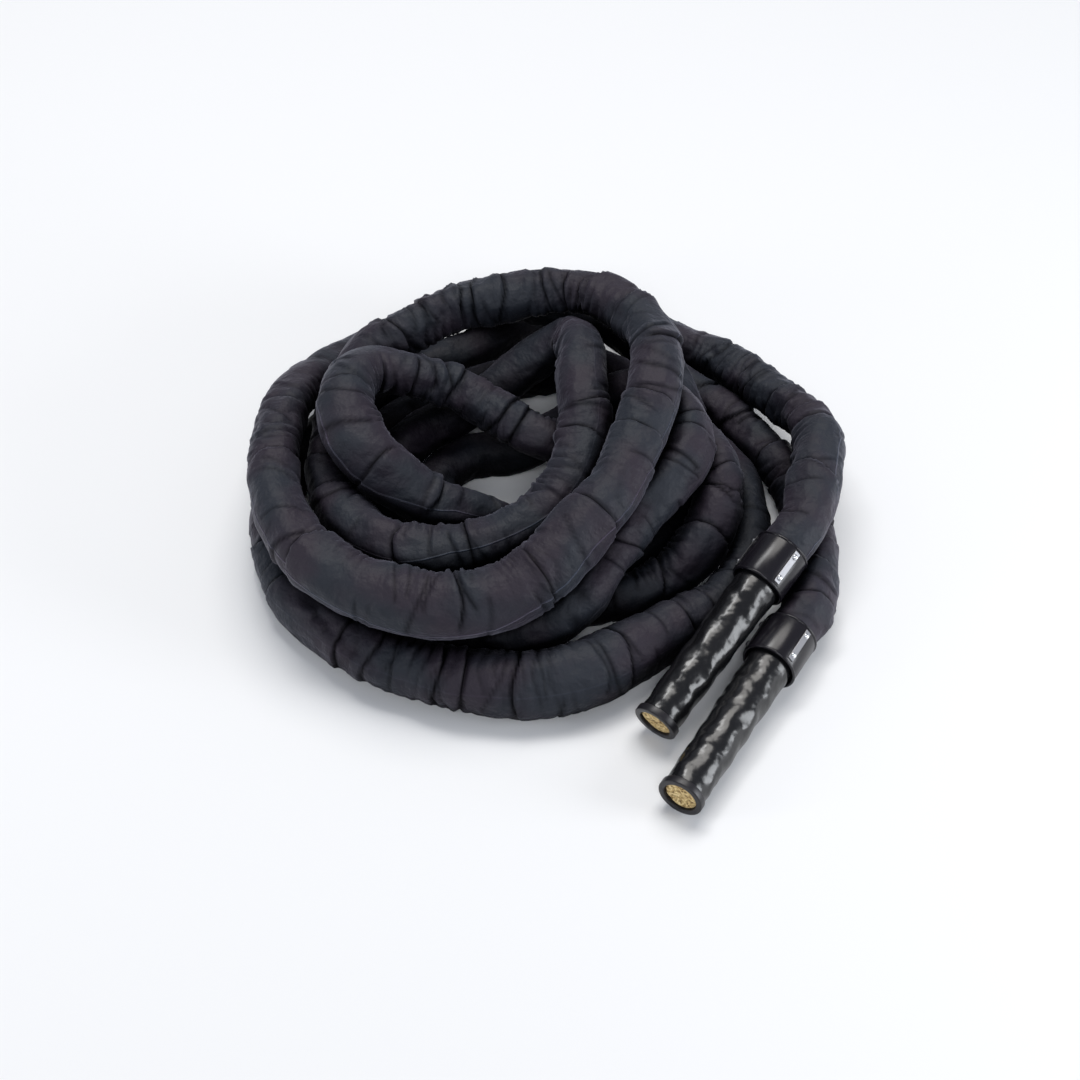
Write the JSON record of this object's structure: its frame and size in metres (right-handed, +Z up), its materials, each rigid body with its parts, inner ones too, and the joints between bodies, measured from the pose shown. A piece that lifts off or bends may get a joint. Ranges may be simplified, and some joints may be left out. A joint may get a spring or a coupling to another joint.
{
  "type": "battle rope",
  "caption": "Thick training rope in a gathered cloth sleeve, lying in a loose pile, with a smooth grip and a riveted ferrule on each end.",
  "frame": {"origin": "on the ground under the middle of the rope's box, pile and grips together", "axes": "+Z up; +X to the right and +Y away from the viewer of the picture, whose grips point to -Y"},
  "size_m": [0.558, 0.6544, 0.1719],
  "materials": {
    "rope": "natural fibre, matt",
    "sleeve": "black woven cloth, gathered, slight sheen",
    "grip": "gloss black shrink tube",
    "ring": "matt black",
    "ferrule": "gloss black",
    "steel": "bright"
  },
  "bodies": {
    "root": {"rope_core": "rope", "sleeve": "sleeve", "grip_a": "grip", "end_ring_a": "ring", "ferrule_a": "ferrule", "grip_b": "grip", "end_ring_b": "ring", "ferrule_b": "ferrule", "rivet_plate_a1": "steel", "rivet_plate_a2": "steel", "rivet_plate_b1": "steel", "rivet_plate_b2": "steel", "rivet_a1": "steel", "rivet_a2": "steel", "rivet_a3": "steel", "rivet_a4": "steel", "rivet_b1": "steel", "rivet_b2": "steel", "rivet_b3": "steel", "rivet_b4": "steel"}
  },
  "joints": []
}
